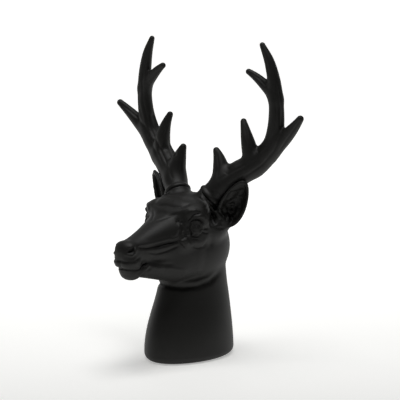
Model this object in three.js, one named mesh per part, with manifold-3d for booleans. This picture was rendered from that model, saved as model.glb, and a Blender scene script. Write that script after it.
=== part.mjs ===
// A stag's head on its neck, cast in resin, with two antlers cast on their own and seated on the skull.
// Millimetres, +Z up. The origin is the middle of the flat underside. The nose points along -Y and the
// stag's left side is +X.
//
// The free forms are modelled as distance fields: negative inside, positive outside. Each form is a
// function of (x, y, z), forms melt into each other over a blend length, and the finished field is
// turned into a closed mesh and thinned where it is smooth.
import * as THREE from "three";
import Module from "manifold-3d";

// Overall sizes.
const figureHeight = 330;
const baseWidth = 81;
const baseDepth = 110;
const baseEdgeRound = 7;

// The seam between each antler and the skull.
const seatRadius = 8;
const seatDepth = 3;
const seamGap = 0.3;
const coronetRadius = 14.2;
const coronetBead = 2.6;

// Walls and details that have a size of their own.
const earWall = 3.2;
const earClearance = 1.4;
const eyeballRadius = 6.6;
const mouthGrooveWidth = 2.4;
const mouthGrooveDepth = 1.5;

// How finely the fields are sampled, and how many triangles are kept.
const bustCell = 1.7;
const antlerCell = 2.1;
const bustTriangles = 5750;
const antlerTriangles = 1550;

// The pose and the carving are drawn on a figure 330 high and follow the real height from there.
const drawnHeight = 330;
const share = figureHeight / drawnHeight;
const at = (x, y, z) => new THREE.Vector3(x, y, z).multiplyScalar(share);
const scaled = (...lengths) => lengths.map((length) => length * share);

// Joining and cutting fields.
function melt(a, b, blend) {
  if (blend <= 0) return Math.min(a, b);
  const overlap = Math.max(blend - Math.abs(a - b), 0) / blend;
  return Math.min(a, b) - (overlap * overlap * blend) / 4;
}
const carve = (body, tool, blend) => -melt(-body, tool, blend);
const ramp = (low, high, value) => THREE.MathUtils.smoothstep(value, low, high);

// A smooth run of numbers through stations [position, value, value, ...], read at any position.
function stationReader(stations) {
  const columns = stations[0].length - 1;
  const slope = (i, c) => {
    const before = stations[Math.max(i - 1, 0)];
    const after = stations[Math.min(i + 1, stations.length - 1)];
    return (after[c] - before[c]) / (after[0] - before[0]);
  };
  return (position) => {
    const last = stations.length - 1;
    const p = THREE.MathUtils.clamp(position, stations[0][0], stations[last][0]);
    let i = 0;
    while (i < last - 1 && p > stations[i + 1][0]) i += 1;
    const [from, to] = [stations[i], stations[i + 1]];
    const span = to[0] - from[0];
    const t = (p - from[0]) / span;
    const values = new Array(columns);
    for (let c = 1; c <= columns; c += 1) {
      const [m0, m1] = [slope(i, c) * span, slope(i + 1, c) * span];
      const rise = to[c] - from[c];
      values[c - 1] = from[c] + t * (m0 + t * (3 * rise - 2 * m0 - m1 + t * (m0 + m1 - 2 * rise)));
    }
    return values;
  };
}

// Basic forms.
function ellipsoid(centre, radii, turn = new THREE.Euler()) {
  const spin = new THREE.Matrix4().makeRotationFromEuler(turn).transpose();
  const place = new THREE.Vector3();
  const [rx, ry, rz] = scaled(...radii);
  return (x, y, z) => {
    place.set(x - centre.x, y - centre.y, z - centre.z).applyMatrix4(spin);
    const near = Math.hypot(place.x / rx, place.y / ry, place.z / rz);
    const steep = Math.hypot(place.x / rx ** 2, place.y / ry ** 2, place.z / rz ** 2);
    return steep > 0 ? (near * (near - 1)) / steep : -Math.min(rx, ry, rz);
  };
}

// A rounded block: an egg with fuller corners.
function block(centre, radii, boxiness) {
  const reaches = scaled(...radii);
  const least = Math.min(...reaches);
  return (x, y, z) => {
    const parts = [x - centre.x, y - centre.y, z - centre.z].map(
      (gap, axis) => (Math.abs(gap) / reaches[axis]) ** boxiness);
    return ((parts[0] + parts[1] + parts[2]) ** (1 / boxiness) - 1) * least;
  };
}

// The skin round a run of balls: a bar through points that each have a radius.
function rod(points, radii) {
  const pieces = [];
  for (let i = 0; i + 1 < points.length; i += 1) {
    const along = points[i + 1].clone().sub(points[i]);
    const length = along.length();
    const slope = (radii[i] - radii[i + 1]) / length;
    const lean = slope / Math.sqrt(1 - slope * slope);
    pieces.push([points[i], along.divideScalar(length), length, lean, radii[i], radii[i + 1] - radii[i]]);
  }
  return (x, y, z) => {
    let nearest = Infinity;
    for (const [from, axis, length, lean, radius, growth] of pieces) {
      const [dx, dy, dz] = [x - from.x, y - from.y, z - from.z];
      const along = dx * axis.x + dy * axis.y + dz * axis.z;
      const away = Math.sqrt(Math.max(dx * dx + dy * dy + dz * dz - along * along, 0));
      const t = THREE.MathUtils.clamp((along - away * lean) / length, 0, 1);
      nearest = Math.min(nearest, Math.hypot(along - t * length, away) - radius - t * growth);
    }
    return nearest;
  };
}

const taper = (from, fromRadius, to, toRadius) => rod([from, to], scaled(fromRadius, toRadius));

// A ring of round section about an axis.
function ring(centre, axis, radius, bead) {
  const place = new THREE.Vector3();
  return (x, y, z) => {
    place.set(x, y, z).sub(centre);
    const height = place.dot(axis);
    const out = Math.sqrt(Math.max(place.lengthSq() - height * height, 0));
    return Math.hypot(out - radius, height) - bead;
  };
}

// Neck: an egg-shaped section, narrower at the throat, that flares into the rounded foot.
// Each station is height, half width, throat, nape and how much the throat narrows.
const halfWidth = baseWidth / 2;
const halfDepth = baseDepth / 2;
const neckAt = stationReader([
  [0, halfWidth, -halfDepth, halfDepth, 0.1],
  [14 * share, halfWidth, -halfDepth - 0.6 * share, halfDepth - 0.8 * share, 0.11],
  ...[
    [30, 39.4, -53.4, 51.8],
    [46, 36.8, -48.8, 50.2],
    [62, 33.6, -42.9, 49.0],
    [78, 30.9, -37.8, 47.0],
    [100, 29.0, -32.0, 44.6],
    [126, 27.0, -24.0, 41.4],
    [146, 22.0, -16.0, 33.0],
  ].map((row) => [...scaled(...row), 0.22 - 2.2 / row[0]]),
]);
const neckTop = 146 * share;

function neck(x, y, z) {
  const [half, throat, nape, narrowing] = neckAt(z);
  const round = z < baseEdgeRound ? baseEdgeRound - Math.sqrt(Math.max(
    baseEdgeRound ** 2 - (baseEdgeRound - Math.max(z, 0)) ** 2, 0)) : 0;
  const middle = (throat + nape) / 2;
  const depth = (nape - throat) / 2 - round;
  const along = (y - middle) / depth;
  const across = x / ((half - round) * (1 + narrowing * THREE.MathUtils.clamp(along, -1, 1)));
  const side = (Math.hypot(across, along) - 1) * Math.min(half, depth);
  return carve(side, neckTop - z, 12 * share);
}

// Muzzle: a boxy section that tapers to the nose. Each station is y, top, bottom and half width.
const muzzleAt = stationReader([
  [-107, 126.8, 118.8, 6.0],
  [-103, 132.0, 114.8, 10.6],
  [-95, 135.1, 111.8, 13.0],
  [-84, 138.3, 110.3, 13.6],
  [-68, 144.3, 106.3, 16.2],
  [-52, 151.1, 100.3, 21.0],
  [-38, 156.7, 93.3, 26.0],
  [-22, 161.3, 88.3, 29.0],
].map((row) => scaled(...row)));
const muzzleFront = -107 * share;
const muzzleBack = -22 * share;
const muzzleBoxiness = 2.5;

function muzzle(x, y, z) {
  const [top, bottom, half] = muzzleAt(y);
  const across = Math.abs(x) / half;
  const up = Math.abs(z - (top + bottom) / 2) / ((top - bottom) / 2);
  const reach = (across ** muzzleBoxiness + up ** muzzleBoxiness) ** (1 / muzzleBoxiness);
  const side = (reach - 1) * Math.min(half, (top - bottom) / 2);
  return carve(side, Math.min(y - muzzleFront, muzzleBack - y), 3 * share);
}

// The seam plane of the antler on the stag's left side: its middle, and the way the antler leaves.
const seatCentre = at(21, 9.7, 168.1);
const seatAxis = new THREE.Vector3(0.585, 0.36, 0.725).normalize();

// Antler, stag's left. The beam's stations are places with a radius.
const beamStations = [
  [17.0, 6.0, 163.3, 12.2],
  [24.3, 11.9, 172.1, 12.3],
  [34.0, 18.6, 182.9, 12.8],
  [48.7, 26.8, 194.9, 13.3],
  [66.5, 34.2, 205.9, 11.8],
  [80.7, 37.2, 224.1, 10.1],
  [87.5, 35.3, 250.5, 8.3],
  [87.1, 33.4, 283.0, 7.1],
  [81.7, 31.5, 308.9, 5.4],
  [73.4, 29.6, 327.1, 2.9],
];
// Each tine leaves the beam at a share of its length and bends through a middle place to its tip.
const tines = [
  { leaves: 0.2, middle: [28.3, 19.2, 200.5], tip: [22.2, 19.6, 216.3], radii: [11.5, 8.0, 3.5] },
  { leaves: 0.41, middle: [57.1, 28.4, 225.2], tip: [49.3, 30.4, 247.5], radii: [10.2, 7.5, 3.3] },
  { leaves: 0.52, middle: [99.4, 37.0, 236.1], tip: [120.4, 31.0, 255.3], radii: [10.0, 7.2, 3.6] },
  { leaves: 0.74, middle: [73.5, 31.6, 287.9], tip: [57.2, 28.3, 299.3], radii: [6.2, 5.4, 3.1] },
];
const beamCurve = new THREE.CatmullRomCurve3(
  beamStations.map(([x, y, z]) => at(x, y, z)), false, "catmullrom", 0.5);
const beamRadiusAt = stationReader(
  beamStations.map((station, i) => [i / (beamStations.length - 1), station[3] * share]));
const beamSteps = 30;
const tineSteps = 9;
const steps = (count) => Array.from({ length: count + 1 }, (_, i) => i / count);

const beam = rod(
  steps(beamSteps).map((t) => beamCurve.getPoint(t)),
  steps(beamSteps).map((t) => beamRadiusAt(t)[0]));

function tine({ leaves, middle, tip, radii }) {
  const root = beamCurve.getPoint(leaves);
  const end = at(...tip);
  const pull = at(...middle).multiplyScalar(2).addScaledVector(root, -0.5).addScaledVector(end, -0.5);
  const curve = new THREE.QuadraticBezierCurve3(root, pull, end);
  const radiusAt = stationReader([0, 0.5, 1].map((t, i) => [t, radii[i] * share]));
  return rod(
    steps(tineSteps).map((t) => curve.getPoint(t)),
    steps(tineSteps).map((t) => radiusAt(t)[0]));
}
const tineForms = tines.map(tine);
const tineBlend = 5 * share;
const coronet = ring(seatCentre.clone().addScaledVector(seatAxis, coronetBead), seatAxis,
  coronetRadius - coronetBead, coronetBead);

function antlerField(x, y, z) {
  let field = beam(x, y, z);
  for (const form of tineForms) field = melt(field, form(x, y, z), tineBlend);
  return melt(field, coronet(x, y, z), 2);
}

// Ear: a deep cup with its mouth towards the front and the side. It is one egg with another taken out.
const earRoot = at(38, 10.8, 139.3);
const earTip = at(60.6, 18.4, 188.3);
const earMiddle = earRoot.clone().lerp(earTip, 0.5);
const earLength = earRoot.distanceTo(earTip);
const earAxis = earTip.clone().sub(earRoot).normalize();
const earOpening = new THREE.Vector3(0.58, -0.8, 0.1).projectOnPlane(earAxis).normalize();
const earAcross = new THREE.Vector3().crossVectors(earAxis, earOpening);
const earHalfWidth = 13.6 * share;
const earDepth = 13 * share;
const earMouthHeight = 3 * share;
const earTipSlimming = 0.22;
const hollowOutset = 0.8 * earWall;

// The cup stays clear of the antler, and its hollow keeps a whole wall's distance from it too.
function ear(x, y, z, fromAntler) {
  const [dx, dy, dz] = [x - earMiddle.x, y - earMiddle.y, z - earMiddle.z];
  const along = dx * earAxis.x + dy * earAxis.y + dz * earAxis.z;
  const out = dx * earOpening.x + dy * earOpening.y + dz * earOpening.z;
  const side = dx * earAcross.x + dy * earAcross.y + dz * earAcross.z;
  const egg = (half, width, depth, outset) => {
    const slim = width * (1 - (earTipSlimming * along) / half);
    const reach = Math.hypot(along / half, side / slim, (out - outset) / depth);
    return (reach - 1) * Math.min(half, slim, depth);
  };
  const whole = Math.max(egg(earLength / 2, earHalfWidth, earDepth, 0), out - earMouthHeight);
  const hollow = egg(
    earLength / 2 - earWall, earHalfWidth - earWall, earDepth - earWall, hollowOutset);
  const outer = carve(whole, fromAntler, 1);
  const inner = carve(hollow, fromAntler - earWall, 2);
  return carve(outer, inner, 2);
}

// Head: masses in the order they are melted on. x is always the distance from the middle plane.
const seatMiddle = seatCentre.clone().addScaledVector(seatAxis, share);
const headMasses = [
  { form: ellipsoid(at(0, 7, 137.3), [30, 38, 34.5]), blend: 0 },
  { form: ellipsoid(at(8, 5.2, 115.3), [28.8, 42, 36.8]), blend: 8 },
  { form: muzzle, blend: 12 },
  { form: taper(at(0, -87, 104.3), 6.4, at(6, -30, 102.8), 19.3), blend: 6 },
  { form: ellipsoid(at(0, -91, 102.2), [11.4, 9.8, 7.7]), blend: 3 },
  { form: ellipsoid(at(0, -97.6, 127.8), [12.6, 8.6, 8]), blend: 3 },
  { form: ellipsoid(at(2, -92.5, 108.3), [10.5, 11, 6]), blend: 3 },
  { form: ellipsoid(at(3.5, -96, 114.8), [10.8, 10.8, 7]), blend: 3 },
  { form: block(at(0, -12, 151.2), [38, 24, 17.2], 2.8), blend: 8 },
  { form: taper(at(24, -36, 128.3), 6, at(32, 4, 134.3), 8), blend: 8 },
  { form: taper(at(13, 3.6, 151.3), 13, seatMiddle, 13.4), blend: 6 },
  { form: taper(at(28, 14, 139.3), 12, at(36, 16, 143.3), 8), blend: 8 },
];

// Places of the face's carving, on the stag's left side.
const eyeCentre = at(30.2, -23.9, 141.6);
const eyeAxis = new THREE.Vector3(0.74, -0.66, 0.13).normalize();
const eyeball = ellipsoid(eyeCentre, [1, 1, 1].map(() => eyeballRadius / share));
const eyelidBead = 1.4;
const eyelidRadius = 0.83 * eyeballRadius;
const eyelids = ring(
  eyeCentre.clone().addScaledVector(eyeAxis, 0.61 * eyeballRadius), eyeAxis, eyelidRadius, eyelidBead);
const eyeSocket = ellipsoid(at(38.6, -32.4, 142.6), [9.5, 12, 10.5], new THREE.Euler(0, 0, -0.75));
const templeHollow = ellipsoid(at(37, -3, 154), [8, 6, 12], new THREE.Euler(-0.5, 0.3, 0));
const earFrontHollow = ellipsoid(at(33, 5.5, 158), [5, 3.5, 8], new THREE.Euler(-0.3, 0.5, 0.3));
const templeFold = rod(
  [at(20.6, -3.2, 170.2), at(28, 0.2, 160), at(37, 4.6, 149)], scaled(1.7, 1.7, 1.4));
const nostril = ellipsoid(at(12, -102.9, 127.1), [3.8, 3.4, 2.2], new THREE.Euler(0, 0.9, 0.3));
const cheekGroove = rod(
  [at(28, -39, 133.6), at(18, -64.8, 128.8), at(13.4, -90, 129.4)], scaled(1.2, 1.9, 1.3));
const mouthHeightAt = stationReader([
  [-108, 108.9], [-98, 107.5], [-88, 107.9], [-79, 110.9],
].map((row) => scaled(...row)));
const [mouthEnd, mouthFadesFrom] = scaled(-76, -80);

function mouthGroove(y, z) {
  const shown = 1 - ramp(mouthFadesFrom, mouthEnd, y);
  const off = (z - mouthHeightAt(y)[0]) / (mouthGrooveWidth / 2);
  return mouthGrooveDepth * shown * Math.exp(-off * off);
}

function headField(x, y, z) {
  let field = Infinity;
  for (const { form, blend } of headMasses) field = melt(field, form(x, y, z), blend * share);
  field = carve(field, eyeSocket(x, y, z), 4 * share);
  field = melt(field, eyelids(x, y, z), 2.5 * share);
  field = melt(field, eyeball(x, y, z), 0.5 * share);
  field = carve(field, templeHollow(x, y, z), 4 * share);
  field = carve(field, earFrontHollow(x, y, z), 3 * share);
  field = melt(field, templeFold(x, y, z), 2.5 * share);
  field = carve(field, cheekGroove(x, y, z), 2 * share);
  field = carve(field, nostril(x, y, z), 2 * share);
  return field + mouthGroove(y, z);
}

// Above the seam the head gives way to the antler's foot ring.
const trimRadius = coronetRadius + earClearance;
const trimHeight = coronetBead * 2 + 0.8;

function bustField(signedX, y, z) {
  const x = Math.abs(signedX);
  const [dx, dy, dz] = [x - seatCentre.x, y - seatCentre.y, z - seatCentre.z];
  const aboveSeat = dx * seatAxis.x + dy * seatAxis.y + dz * seatAxis.z;
  const fromAxis = Math.sqrt(Math.max(dx * dx + dy * dy + dz * dz - aboveSeat * aboveSeat, 0));
  const room = Math.min(aboveSeat, trimRadius + earClearance - fromAxis);
  const head = Math.max(headField(x, y, z), room);
  const fromAntler = Math.min(beam(x, y, z), coronet(x, y, z)) - earClearance;
  const withEar = melt(head, ear(x, y, z, fromAntler), 3 * share);
  return melt(withEar, neck(x, y, z), 2.5 * share);
}

// Turns a field into a triangle mesh: each cube of the grid is cut into six tetrahedra around one
// diagonal, and the surface crosses each tetrahedron in one or two triangles.
const cubeTetrahedra = [
  [0, 1, 3, 7], [0, 3, 2, 7], [0, 2, 6, 7], [0, 6, 4, 7], [0, 4, 5, 7], [0, 5, 1, 7],
];

const leastEdgePart = 0.03;

function surfaceOf(field, box, cell) {
  const size = box.getSize(new THREE.Vector3());
  const [nx, ny, nz] = size.toArray().map((length) => Math.ceil(length / cell) + 1);
  const placeOf = (i) => [
    box.min.x + (i % nx) * cell,
    box.min.y + (Math.floor(i / nx) % ny) * cell,
    box.min.z + Math.floor(i / (nx * ny)) * cell,
  ];
  const values = new Float64Array(nx * ny * nz);
  const stride = 4;
  const blockReach = stride * cell * 1.1;
  for (let k = 0; k < nz; k += stride) {
    for (let j = 0; j < ny; j += stride) {
      for (let i = 0; i < nx; i += stride) {
        const middle = [i, j, k].map(
          (n, axis) => box.min.getComponent(axis) + (n + (stride - 1) / 2) * cell);
        const far = field(...middle);
        for (let kk = k; kk < Math.min(k + stride, nz); kk += 1) {
          for (let jj = j; jj < Math.min(j + stride, ny); jj += 1) {
            for (let ii = i; ii < Math.min(i + stride, nx); ii += 1) {
              const index = ii + nx * (jj + ny * kk);
              const value = Math.abs(far) > blockReach ? far : field(...placeOf(index)) || 1e-9;
              const onRim = Math.min(ii, jj, kk, nx - 1 - ii, ny - 1 - jj, nz - 1 - kk) === 0;
              values[index] = onRim ? Math.max(value, cell) : value;
            }
          }
        }
      }
    }
  }
  const points = [];
  const pointOnEdge = new Map();
  const crossing = (inside, outside) => {
    const key = Math.min(inside, outside) * values.length + Math.max(inside, outside);
    if (!pointOnEdge.has(key)) {
      const exact = values[inside] / (values[inside] - values[outside]);
      const part = THREE.MathUtils.clamp(exact, leastEdgePart, 1 - leastEdgePart);
      const [a, b] = [placeOf(inside), placeOf(outside)];
      pointOnEdge.set(key, points.length);
      points.push(a.map((v, axis) => v + part * (b[axis] - v)));
    }
    return pointOnEdge.get(key);
  };
  const faces = [];
  const corners = [0, 1, nx, nx + 1, nx * ny, nx * ny + 1, nx * ny + nx, nx * ny + nx + 1];
  const addFace = (a, b, c, outward) => {
    const [p, q, r] = [points[a], points[b], points[c]];
    const [ux, uy, uz] = [q[0] - p[0], q[1] - p[1], q[2] - p[2]];
    const [vx, vy, vz] = [r[0] - p[0], r[1] - p[1], r[2] - p[2]];
    const facing = (uy * vz - uz * vy) * outward[0] + (uz * vx - ux * vz) * outward[1] +
      (ux * vy - uy * vx) * outward[2];
    faces.push(facing > 0 ? [a, b, c] : [a, c, b]);
  };
  for (let k = 0; k < nz - 1; k += 1) {
    for (let j = 0; j < ny - 1; j += 1) {
      for (let i = 0; i < nx - 1; i += 1) {
        const first = i + nx * (j + ny * k);
        const signs = corners.reduce((sum, step) => sum + (values[first + step] < 0 ? 1 : 0), 0);
        if (signs === 0 || signs === 8) continue;
        for (const tetrahedron of cubeTetrahedra) {
          const nodes = tetrahedron.map((corner) => first + corners[corner]);
          const inside = nodes.filter((node) => values[node] < 0);
          const outside = nodes.filter((node) => values[node] >= 0);
          if (!inside.length || !outside.length) continue;
          const middle = (group) => group.map(placeOf).reduce(
            (sum, place) => sum.map((v, axis) => v + place[axis] / group.length), [0, 0, 0]);
          const [low, high] = [middle(inside), middle(outside)];
          const outward = high.map((v, axis) => v - low[axis]);
          if (inside.length === 2) {
            const [a, b] = [crossing(inside[0], outside[0]), crossing(inside[0], outside[1])];
            const [c, d] = [crossing(inside[1], outside[1]), crossing(inside[1], outside[0])];
            addFace(a, b, c, outward);
            addFace(a, c, d, outward);
          } else {
            const [lone, others] = inside.length === 1 ? [inside[0], outside] : [outside[0], inside];
            const ends = others.map((node) => (
              inside.length === 1 ? crossing(lone, node) : crossing(node, lone)));
            addFace(ends[0], ends[1], ends[2], outward);
          }
        }
      }
    }
  }
  return { points, faces };
}

// A heap of edges, cheapest first.
class EdgeHeap {
  items = [];

  push(item) {
    const { items } = this;
    let i = items.push(item) - 1;
    while (i > 0) {
      const parent = (i - 1) >> 1;
      if (items[parent].cost <= items[i].cost) break;
      [items[parent], items[i]] = [items[i], items[parent]];
      i = parent;
    }
  }

  pop() {
    const { items } = this;
    const top = items[0];
    const last = items.pop();
    if (items.length) {
      items[0] = last;
      for (let i = 0; ;) {
        const left = 2 * i + 1;
        if (left >= items.length) break;
        const right = left + 1;
        const least = right < items.length && items[right].cost < items[left].cost ? right : left;
        if (items[i].cost <= items[least].cost) break;
        [items[i], items[least]] = [items[least], items[i]];
        i = least;
      }
    }
    return top;
  }
}

// Thins a closed mesh to about a number of triangles by closing up its cheapest edges. The cost of a
// place is its summed squared distance from the planes of the faces that it stands for, and counts
// for more where the carving is finest.
function thinned({ points, faces }, target, careAt = () => 1) {
  const quadrics = points.map(() => new Float64Array(10));
  const facesAt = points.map(() => new Set());
  const stamps = new Uint32Array(points.length);
  const normalOf = (p, q, r) => {
    const [ux, uy, uz] = [q[0] - p[0], q[1] - p[1], q[2] - p[2]];
    const [vx, vy, vz] = [r[0] - p[0], r[1] - p[1], r[2] - p[2]];
    return [uy * vz - uz * vy, uz * vx - ux * vz, ux * vy - uy * vx];
  };
  faces.forEach((face, index) => {
    const cross = normalOf(...face.map((v) => points[v]));
    const doubleArea = Math.hypot(...cross) || 1e-12;
    const [a, b, c] = cross.map((v) => v / doubleArea);
    const [x, y, z] = points[face[0]];
    const d = -(a * x + b * y + c * z);
    const care = doubleArea * careAt(x, y, z);
    const terms = [a * a, a * b, a * c, a * d, b * b, b * c, b * d, c * c, c * d, d * d];
    for (const v of face) {
      facesAt[v].add(index);
      terms.forEach((term, i) => { quadrics[v][i] += term * care; });
    }
  });
  const costOf = (q, [x, y, z]) => q[0] * x * x + 2 * q[1] * x * y + 2 * q[2] * x * z + 2 * q[3] * x +
    q[4] * y * y + 2 * q[5] * y * z + 2 * q[6] * y + q[7] * z * z + 2 * q[8] * z + q[9];
  const solve = new THREE.Matrix3();
  const answer = new THREE.Vector3();
  const edgeItem = (a, b) => {
    const q = quadrics[a].map((term, i) => term + quadrics[b][i]);
    const [p, r] = [points[a], points[b]];
    const middle = p.map((v, i) => (v + r[i]) / 2);
    const length = Math.hypot(p[0] - r[0], p[1] - r[1], p[2] - r[2]);
    let place = middle;
    solve.set(q[0], q[1], q[2], q[1], q[4], q[5], q[2], q[5], q[7]);
    if (Math.abs(solve.determinant()) > 1e-4 * (q[0] + q[4] + q[7]) ** 3) {
      answer.set(-q[3], -q[6], -q[8]).applyMatrix3(solve.invert());
      const found = answer.toArray();
      const strayed = Math.hypot(...found.map((v, i) => v - middle[i]));
      if (strayed < length) place = found;
    }
    const cost = costOf(q, place) + 1e-4 * length ** 4;
    return { a, b, place, cost, stamp: stamps[a] + stamps[b] };
  };
  const neighboursOf = (v) => {
    const found = new Set();
    for (const index of facesAt[v]) faces[index].forEach((w) => found.add(w));
    found.delete(v);
    return found;
  };
  const heap = new EdgeHeap();
  points.forEach((_, a) => {
    for (const b of neighboursOf(a)) if (a < b) heap.push(edgeItem(a, b));
  });
  const keepsFacing = (kept, gone, place) => {
    for (const [v, other] of [[kept, gone], [gone, kept]]) {
      for (const index of facesAt[v]) {
        const face = faces[index];
        if (face.includes(other)) continue;
        const before = normalOf(...face.map((w) => points[w]));
        const after = normalOf(...face.map((w) => (w === v ? place : points[w])));
        const dot = before[0] * after[0] + before[1] * after[1] + before[2] * after[2];
        const sizes = Math.hypot(...before) * Math.hypot(...after);
        if (dot < 0.35 * sizes || Math.hypot(...after) < 1e-3) return false;
      }
    }
    return true;
  };
  const gone = new Uint8Array(points.length);
  let count = faces.length;
  while (count > target && heap.items.length) {
    const { a, b, place, stamp } = heap.pop();
    if (gone[a] || gone[b] || stamp !== stamps[a] + stamps[b]) continue;
    const around = neighboursOf(b);
    const shared = [...neighboursOf(a)].filter((v) => around.has(v));
    if (shared.length !== 2 || !keepsFacing(a, b, place)) continue;
    for (const index of [...facesAt[b]]) {
      const face = faces[index];
      if (face.includes(a)) {
        face.forEach((v) => facesAt[v].delete(index));
        faces[index] = null;
        count -= 1;
      } else {
        face[face.indexOf(b)] = a;
        facesAt[a].add(index);
      }
    }
    points[a] = place;
    gone[b] = 1;
    quadrics[b].forEach((term, i) => { quadrics[a][i] += term; });
    stamps[a] += 1;
    for (const v of neighboursOf(a)) heap.push(edgeItem(a, v));
  }
  return { points, faces: faces.filter(Boolean) };
}

// Solids.
const wasm = await Module();
wasm.setup();

function solidOf({ points, faces }) {
  const renamed = new Map();
  const kept = [];
  const triVerts = faces.flatMap((face) => face.map((v) => {
    if (!renamed.has(v)) {
      renamed.set(v, renamed.size);
      kept.push(...points[v]);
    }
    return renamed.get(v);
  }));
  return new wasm.Manifold(new wasm.Mesh({
    numProp: 3,
    vertProperties: new Float32Array(kept),
    triVerts: new Uint32Array(triVerts),
  }));
}

// Mirrors a geometry in the middle plane and turns its faces the right way out again.
function mirrored(geometry) {
  geometry.scale(-1, 1, 1);
  const { array } = geometry.index;
  for (let i = 0; i < array.length; i += 3) [array[i], array[i + 1]] = [array[i + 1], array[i]];
  return geometry;
}

function solidOfGeometry(geometry) {
  const bare = geometry.index ? geometry.toNonIndexed() : geometry;
  const position = bare.getAttribute("position");
  const seen = new Map();
  const points = [];
  const names = [];
  for (let i = 0; i < position.count; i += 1) {
    const place = [position.getX(i), position.getY(i), position.getZ(i)];
    const key = place.map((v) => Math.round(v * 1e4)).join();
    if (!seen.has(key)) {
      seen.set(key, points.length);
      points.push(place);
    }
    names.push(seen.get(key));
  }
  const faces = [];
  for (let i = 0; i < names.length; i += 3) {
    const face = names.slice(i, i + 3);
    if (new Set(face).size === 3) faces.push(face);
  }
  return solidOf({ points, faces });
}

// A solid as three.js geometry, on its own side or mirrored in the middle plane.
function geometryOf(solid, side = 1) {
  const { vertProperties, triVerts, numProp } = solid.getMesh();
  const geometry = new THREE.BufferGeometry();
  const position = new Float32Array((vertProperties.length / numProp) * 3);
  for (let i = 0; i * numProp < vertProperties.length; i += 1) {
    position.set(vertProperties.subarray(i * numProp, i * numProp + 3), i * 3);
  }
  geometry.setAttribute("position", new THREE.BufferAttribute(position, 3));
  geometry.setIndex(new THREE.BufferAttribute(new Uint32Array(triVerts), 1));
  if (side < 0) mirrored(geometry);
  geometry.computeVertexNormals();
  return geometry;
}

// A round bar along the seat axis, between two heights above the seam plane, on the side given.
const seatSides = 40;
function seatBar(radius, low, high, side) {
  const bar = new THREE.CylinderGeometry(radius, radius, high - low, seatSides);
  bar.rotateX(Math.PI / 2).translate(0, 0, (low + high) / 2);
  const turn = new THREE.Quaternion().setFromUnitVectors(new THREE.Vector3(0, 0, 1), seatAxis);
  bar.applyQuaternion(turn).translate(seatCentre.x, seatCentre.y, seatCentre.z);
  return solidOfGeometry(side < 0 ? mirrored(bar) : bar);
}

// Bust: the neck's underside is cut flat, each pedicle is cut to the seam plane and its seat is sunk.
const belowGround = 6;

// The eyes count most, then the rest of the face, and the plain neck and nape least.
const faceFloor = 96 * share;
const faceBack = 4 * share;
const eyeZone = 17 * share;
const eyeCare = 26;
const faceCare = 5;
function careOnBust(x, y, z) {
  if (Math.hypot(Math.abs(x) - eyeCentre.x, y - eyeCentre.y, z - eyeCentre.z) < eyeZone) return eyeCare;
  return z > faceFloor && y < faceBack ? faceCare : 1;
}

function makeBust() {
  const reach = new THREE.Box3(at(-72, -114, 0), at(72, 64, 198));
  reach.min.z = -belowGround;
  reach.min.x = Math.min(reach.min.x, -halfWidth - 2 * bustCell);
  reach.max.x = -reach.min.x;
  reach.max.y = Math.max(reach.max.y, halfDepth + 2 * bustCell);
  let bust = solidOf(thinned(surfaceOf(bustField, reach, bustCell), bustTriangles, careOnBust));
  const ground = new THREE.BoxGeometry(4 * baseWidth, 4 * baseDepth, 2 * belowGround);
  ground.translate(0, 0, -belowGround);
  bust = bust.subtract(solidOfGeometry(ground));
  for (const side of [1, -1]) {
    bust = bust.subtract(seatBar(trimRadius, 0, trimHeight, side));
    bust = bust.subtract(seatBar(seatRadius + seamGap, -seatDepth - seamGap, trimHeight, side));
  }
  return bust;
}

// Antler: cut to the seam plane, with a short round foot that drops into the seat.
function makeAntler() {
  const reach = new THREE.Box3();
  for (const [x, y, z, radius] of beamStations) {
    reach.expandByPoint(at(x, y, z));
    reach.expandByPoint(at(x + radius, y, z));
  }
  for (const { tip } of tines) reach.expandByPoint(at(...tip));
  reach.expandByScalar(16 * share);
  const whole = solidOf(thinned(surfaceOf(antlerField, reach, antlerCell), antlerTriangles));
  const below = seatBar(coronetRadius * 2, -30 * share, seamGap, 1);
  return whole.subtract(below).add(seatBar(seatRadius, -seatDepth, seamGap + 1, 1));
}

const resin = () => new THREE.MeshStandardMaterial({ color: 0x141412, roughness: 0.62, metalness: 0 });

function namedMesh(name, geometry) {
  const mesh = new THREE.Mesh(geometry, resin());
  mesh.name = name;
  return mesh;
}

const stag = new THREE.Group();
stag.name = "stag_head";
stag.add(namedMesh("head_and_neck", geometryOf(makeBust())));
const antler = makeAntler();
stag.add(namedMesh("left_antler", geometryOf(antler)));
stag.add(namedMesh("right_antler", geometryOf(antler, -1)));

export default stag;
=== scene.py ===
import math

import bpy
import numpy as np
from mathutils import Matrix, Vector


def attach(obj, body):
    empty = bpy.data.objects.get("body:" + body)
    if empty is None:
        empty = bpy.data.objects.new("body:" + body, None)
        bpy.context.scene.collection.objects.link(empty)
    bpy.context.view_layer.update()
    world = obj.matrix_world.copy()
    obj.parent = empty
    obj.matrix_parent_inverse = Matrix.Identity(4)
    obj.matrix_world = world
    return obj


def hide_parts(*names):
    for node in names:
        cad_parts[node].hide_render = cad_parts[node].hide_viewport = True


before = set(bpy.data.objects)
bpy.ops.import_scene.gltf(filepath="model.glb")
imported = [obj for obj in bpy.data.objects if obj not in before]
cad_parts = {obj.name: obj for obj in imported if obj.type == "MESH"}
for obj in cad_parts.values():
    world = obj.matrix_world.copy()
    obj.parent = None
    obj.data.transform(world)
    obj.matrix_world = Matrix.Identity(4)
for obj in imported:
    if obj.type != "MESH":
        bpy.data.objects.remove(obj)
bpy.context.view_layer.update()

# A stag's head and neck in cast polyresin, sprayed matt black. The forms are distance fields in millimetres:
# negative inside, positive outside. The nose points along -Y, and both sides are alike in the middle plane.
MM = 0.001

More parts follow.
